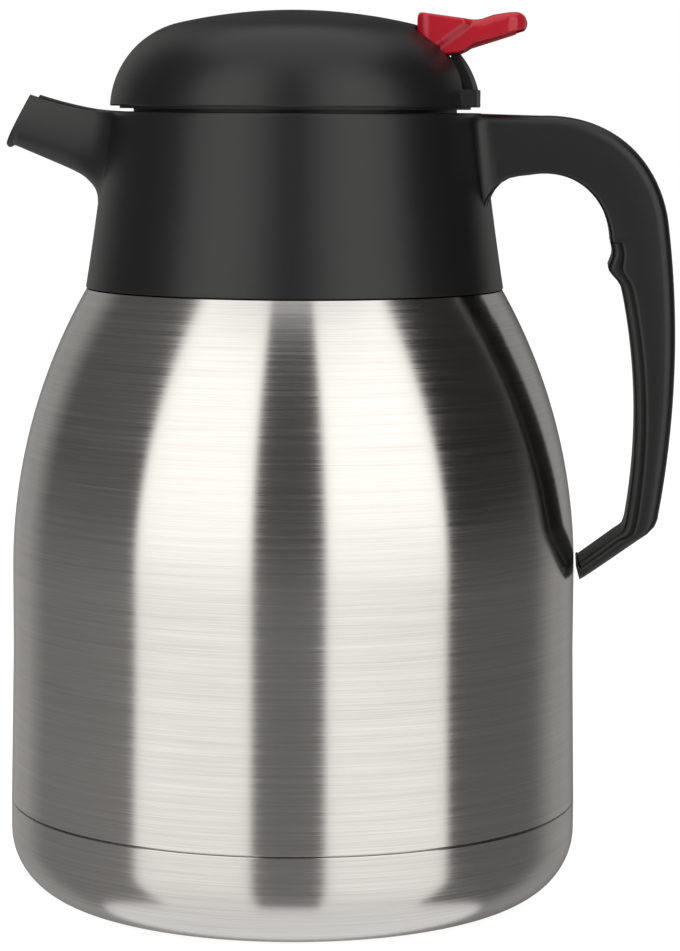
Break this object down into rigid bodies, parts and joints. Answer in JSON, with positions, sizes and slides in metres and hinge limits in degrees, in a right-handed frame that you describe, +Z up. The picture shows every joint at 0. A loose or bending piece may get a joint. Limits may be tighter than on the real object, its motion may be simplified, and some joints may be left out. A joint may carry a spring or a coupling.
{
  "type": "vacuum jug",
  "caption": "Vacuum-insulated steel jug with a hollow-sided neck collar, trough spout, C-shaped grip and screw-in domed lid; a thumb lever lifts the spring-closed pouring valve.",
  "frame": {"origin": "centre of the flat face that the base stands on, on the axis of the bottle", "axes": "+Z up along the axis of the bottle, +X towards the handle, -X towards the spout, +Y to the left of someone who looks from the handle to the spout"},
  "size_m": [0.1655, 0.1414, 0.2196],
  "materials": {
    "steel": "satin, brushed around the axis",
    "steel_inner": "satin, drawn",
    "black_shell": "satin, fine grain",
    "black_part": "satin",
    "lever_red": "semi-gloss",
    "seal": "matt, translucent",
    "pin_steel": "smooth",
    "getter_metal": "sintered, matt"
  },
  "bodies": {
    "carafe": {"outer_shell": "steel", "inner_liner": "steel_inner", "vacuum_bottom": "steel_inner", "getter": "getter_metal", "vacuum_seal": "steel_inner", "base_cover": "steel", "collar": "black_shell", "spout": "black_shell", "handle": "black_shell", "handle_cover": "black_shell", "neck_seal": "seal", "throat_ring": "black_part"},
    "lid_carrier": {"stopper_gasket": "seal"},
    "lid": {"lid_dome": "black_shell", "stopper_body": "black_part", "valve_seat": "black_part", "stem_seal": "seal", "lever_pin": "pin_steel", "valve_spring": "pin_steel"},
    "lever": {"lever": "lever_red"},
    "valve": {"valve_disc": "black_part", "valve_seal": "seal", "valve_stem": "pin_steel", "stem_cap": "black_part"}
  },
  "joints": [
    {"name": "lid_rise", "type": "slide", "parent": "carafe", "child": "lid_carrier", "axis": [0, 0, 1], "range_m": [0, 0.008]},
    {"name": "lid_turn", "type": "hinge", "parent": "lid_carrier", "child": "lid", "pos_m": [0, 0, 0], "axis": [0, 0, 1], "range_deg": [0, 360]},
    {"name": "lever_press", "type": "hinge", "parent": "lid", "child": "lever", "pos_m": [0.032, 0, 0.2062], "axis": [0, 1, 0], "range_deg": [0, 14]},
    {"name": "valve_lift", "type": "slide", "parent": "lid", "child": "valve", "axis": [0, 0, 1], "range_m": [0, 0.0078], "stiffness_N_per_m": 400, "springref_m": -0.01, "deforming": ["valve_spring"]}
  ],
  "couplings": [
    {"joint": "lid_turn", "follows": "lid_rise", "rad_per_m": 785.4},
    {"joint": "lever_press", "follows": "valve_lift", "rad_per_m": 31.25}
  ]
}
